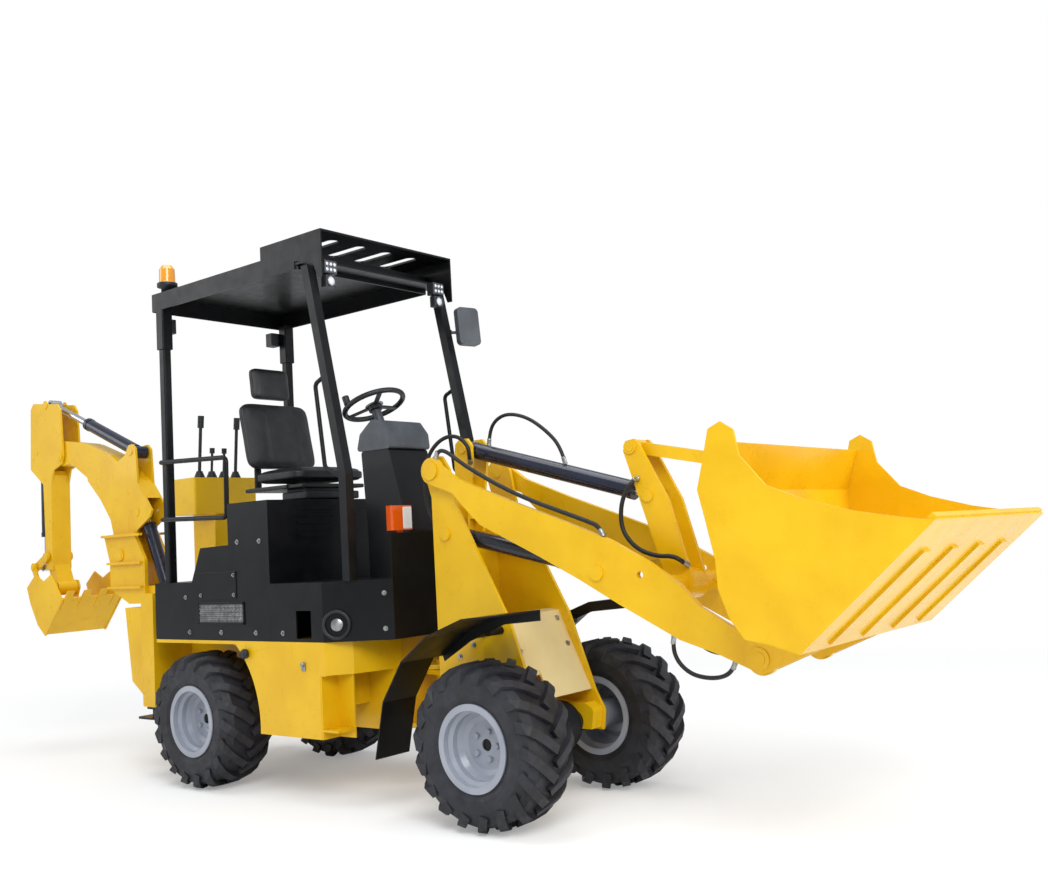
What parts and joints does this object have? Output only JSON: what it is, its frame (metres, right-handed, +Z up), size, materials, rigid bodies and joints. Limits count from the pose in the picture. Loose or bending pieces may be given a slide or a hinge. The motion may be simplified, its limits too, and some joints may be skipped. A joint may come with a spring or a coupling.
{
  "type": "backhoe loader",
  "caption": "Articulated loader with a front bucket on lift arms, a roofed open operator's station and a swinging digging arm behind",
  "frame": {"origin": "On the ground under the middle of the machine's overall box", "axes": "+X forward towards the loader bucket, +Y to the left, +Z up"},
  "size_m": [5.84, 1.174, 2.6898],
  "materials": {
    "yellow_paint": "gloss enamel",
    "silver_paint": "gloss enamel",
    "black_paint": "satin enamel",
    "blue_black_paint": "satin enamel",
    "galvanised": "bright zinc",
    "chrome_rod": "polished",
    "iron": "as cast",
    "tyre": "new",
    "seat_vinyl": "coated vinyl",
    "black_plastic": "fine grain",
    "grey_plastic": "fine grain",
    "amber_lens": "clear amber",
    "axle_paint": "satin enamel"
  },
  "bodies": {
    "rear_frame": {"rear_chassis": "yellow_paint", "rear_axle": "axle_paint", "engine_block": "iron", "rear_body": "black_paint", "front_body": "black_paint", "canopy_frame": "black_paint", "canopy_roof": "black_paint", "seat_base": "black_plastic", "seat_cushion": "seat_vinyl", "seat_backrest": "seat_vinyl", "headrest": "seat_vinyl", "steering_console": "black_paint", "instrument_cowl": "grey_plastic", "hoe_console": "yellow_paint", "hoe_levers": "black_plastic", "handrails": "black_paint", "work_lamps": "black_plastic", "beacon": "amber_lens", "mirror": "black_plastic", "front_lamps": "amber_lens"},
    "front_frame": {"front_chassis": "yellow_paint", "front_axle": "axle_paint", "fenders": "black_paint", "tower_cover": "galvanised"},
    "front_left_wheel": {"front_left_tyre": "tyre", "front_left_rim": "silver_paint"},
    "front_right_wheel": {"front_right_tyre": "tyre", "front_right_rim": "silver_paint"},
    "rear_left_wheel": {"rear_left_tyre": "tyre", "rear_left_rim": "silver_paint"},
    "rear_right_wheel": {"rear_right_tyre": "tyre", "rear_right_rim": "silver_paint"},
    "steering_wheel_body": {"steering_wheel": "black_plastic"},
    "arms": {"loader_arms": "yellow_paint"},
    "lift_barrel_pair": {"lift_barrels": "blue_black_paint"},
    "lift_rod_pair": {"lift_rods": "chrome_rod"},
    "tilt_cylinder": {"tilt_barrel": "blue_black_paint"},
    "tilt_cylinder_rod": {"tilt_rod": "chrome_rod"},
    "lever": {"tilt_lever": "yellow_paint"},
    "link": {"tilt_link": "yellow_paint"},
    "bucket": {"loader_bucket": "yellow_paint"},
    "swing": {"swing_post": "yellow_paint"},
    "hoe_boom": {"boom": "yellow_paint"},
    "boom_cylinder": {"boom_cylinder_barrel": "blue_black_paint"},
    "boom_rod": {"boom_cylinder_rod": "chrome_rod"},
    "dipper_cylinder": {"dipper_cylinder_barrel": "blue_black_paint"},
    "dipper_rod": {"dipper_cylinder_rod": "chrome_rod"},
    "bucket_rod": {"bucket_cylinder_rod": "chrome_rod"},
    "rocker": {"hoe_rocker": "yellow_paint"},
    "hoe_bucket_link": {"hoe_link": "yellow_paint"},
    "digging_bucket": {"hoe_bucket": "yellow_paint"},
    "left_leg": {"stabiliser_leg_left": "black_paint"},
    "right_leg": {"stabiliser_leg_right": "black_paint"},
    "dipper_arm": {"dipper": "yellow_paint", "bucket_cylinder_barrel": "blue_black_paint"}
  },
  "joints": [
    {"name": "articulation", "type": "hinge", "parent": "rear_frame", "child": "front_frame", "pos_m": [0.425, 0, 0.57], "axis": [0, 0, 1], "range_deg": [-30, 30]},
    {"name": "front_left_spin", "type": "hinge", "parent": "front_frame", "child": "front_left_wheel", "pos_m": [1.065, 0.416, 0.33], "axis": [0, 1, 0], "continuous": true},
    {"name": "front_right_spin", "type": "hinge", "parent": "front_frame", "child": "front_right_wheel", "pos_m": [1.065, -0.416, 0.33], "axis": [0, 1, 0], "continuous": true},
    {"name": "rear_left_spin", "type": "hinge", "parent": "rear_frame", "child": "rear_left_wheel", "pos_m": [-0.767, 0.416, 0.33], "axis": [0, 1, 0], "continuous": true},
    {"name": "rear_right_spin", "type": "hinge", "parent": "rear_frame", "child": "rear_right_wheel", "pos_m": [-0.767, -0.416, 0.33], "axis": [0, 1, 0], "continuous": true},
    {"name": "steering", "type": "hinge", "parent": "rear_frame", "child": "steering_wheel_body", "pos_m": [0.047, 0, 1.823], "axis": [-0.3827, 0, 0.9239], "continuous": true},
    {"name": "arm_lift", "type": "hinge", "parent": "front_frame", "child": "arms", "pos_m": [0.645, 0, 1.445], "axis": [0, -1, 0], "range_deg": [-22, 62]},
    {"name": "bucket_tilt", "type": "hinge", "parent": "arms", "child": "bucket", "pos_m": [2.177, 0, 0.668], "axis": [0, 1, 0], "range_deg": [-5, 85]},
    {"name": "lift_barrel_swing", "type": "hinge", "parent": "front_frame", "child": "lift_barrel_pair", "pos_m": [0.685, 0, 1.165], "axis": [0, -1, 0], "range_deg": [-23, 63]},
    {"name": "lift_rod_slide", "type": "slide", "parent": "lift_barrel_pair", "child": "lift_rod_pair", "axis": [0.975, 0, -0.2222], "range_m": [-0.1, 0.28]},
    {"name": "tilt_barrel_swing", "type": "hinge", "parent": "front_frame", "child": "tilt_cylinder", "pos_m": [0.671, 0, 1.543], "axis": [0, -1, 0], "range_deg": [-24, 66]},
    {"name": "tilt_rod_slide", "type": "slide", "parent": "tilt_cylinder", "child": "tilt_cylinder_rod", "axis": [0.9621, 0, -0.2727], "range_m": [-0.04, 0.58]},
    {"name": "lever_swing", "type": "hinge", "parent": "arms", "child": "lever", "pos_m": [1.755, 0, 0.92], "axis": [0, 1, 0], "range_deg": [-7, 99]},
    {"name": "link_swing", "type": "hinge", "parent": "lever", "child": "link", "pos_m": [1.565, 0, 1.468], "axis": [0, 1, 0], "range_deg": [-82, 6]},
    {"name": "hoe_swing", "type": "hinge", "parent": "rear_frame", "child": "swing", "pos_m": [-1.675, -0.15, 0.9], "axis": [0, 0, 1], "range_deg": [-60, 60]},
    {"name": "boom_lift", "type": "hinge", "parent": "swing", "child": "hoe_boom", "pos_m": [-1.86, -0.15, 1.165], "axis": [0, -1, 0], "range_deg": [-5, 62]},
    {"name": "boom_barrel_swing", "type": "hinge", "parent": "swing", "child": "boom_cylinder", "pos_m": [-1.515, -0.15, 0.945], "axis": [0, -1, 0], "range_deg": [-3, 24]},
    {"name": "boom_rod_slide", "type": "slide", "parent": "boom_cylinder", "child": "boom_rod", "axis": [-0.4153, 0, 0.9097], "range_m": [-0.02, 0.19]},
    {"name": "dipper_swing", "type": "hinge", "parent": "hoe_boom", "child": "dipper_arm", "pos_m": [-2.56, -0.15, 1.8], "axis": [0, 1, 0], "range_deg": [-5, 68]},
    {"name": "dipper_barrel_swing", "type": "hinge", "parent": "hoe_boom", "child": "dipper_cylinder", "pos_m": [-1.772, -0.15, 1.754], "axis": [0, 1, 0], "range_deg": [-2, 12]},
    {"name": "dipper_rod_slide", "type": "slide", "parent": "dipper_cylinder", "child": "dipper_rod", "axis": [-0.9249, 0, 0.3802], "range_m": [-0.4, 0.04]},
    {"name": "hoe_bucket_tilt", "type": "hinge", "parent": "dipper_arm", "child": "digging_bucket", "pos_m": [-2.635, -0.15, 0.985], "axis": [0, 1, 0], "range_deg": [-10, 90]},
    {"name": "bucket_rod_slide", "type": "slide", "parent": "dipper_arm", "child": "bucket_rod", "axis": [0, 0, -1], "range_m": [-0.15, 0.02]},
    {"name": "rocker_swing", "type": "hinge", "parent": "dipper_arm", "child": "rocker", "pos_m": [-2.712, -0.15, 1.18], "axis": [0, 1, 0], "range_deg": [-8, 70]},
    {"name": "hoe_link_swing", "type": "hinge", "parent": "rocker", "child": "hoe_bucket_link", "pos_m": [-2.835, -0.15, 1.12], "axis": [0, 1, 0], "range_deg": [-72, 9]},
    {"name": "left_leg_slide", "type": "slide", "parent": "rear_frame", "child": "left_leg", "axis": [0, 0, -1], "range_m": [0, 0.32]},
    {"name": "right_leg_slide", "type": "slide", "parent": "rear_frame", "child": "right_leg", "axis": [0, 0, -1], "range_m": [0, 0.32]}
  ],
  "couplings": [
    {"joint": "lift_barrel_swing", "follows": "arm_lift", "ratio": 0.999},
    {"joint": "lift_rod_slide", "follows": "arm_lift", "m_per_rad": 0.2391},
    {"joint": "tilt_barrel_swing", "follows": "arm_lift", "ratio": 1.04},
    {"joint": "tilt_rod_slide", "follows": "bucket_tilt", "m_per_rad": 0.382},
    {"joint": "lever_swing", "follows": "bucket_tilt", "ratio": 1.15},
    {"joint": "link_swing", "follows": "bucket_tilt", "ratio": -0.94},
    {"joint": "boom_barrel_swing", "follows": "boom_lift", "ratio": 0.362},
    {"joint": "boom_rod_slide", "follows": "boom_lift", "m_per_rad": 0.1631},
    {"joint": "dipper_barrel_swing", "follows": "dipper_swing", "ratio": 0.161},
    {"joint": "dipper_rod_slide", "follows": "dipper_swing", "m_per_rad": -0.3281},
    {"joint": "bucket_rod_slide", "follows": "hoe_bucket_tilt", "m_per_rad": -0.0885},
    {"joint": "rocker_swing", "follows": "hoe_bucket_tilt", "ratio": 0.77},
    {"joint": "hoe_link_swing", "follows": "hoe_bucket_tilt", "ratio": -0.78}
  ]
}
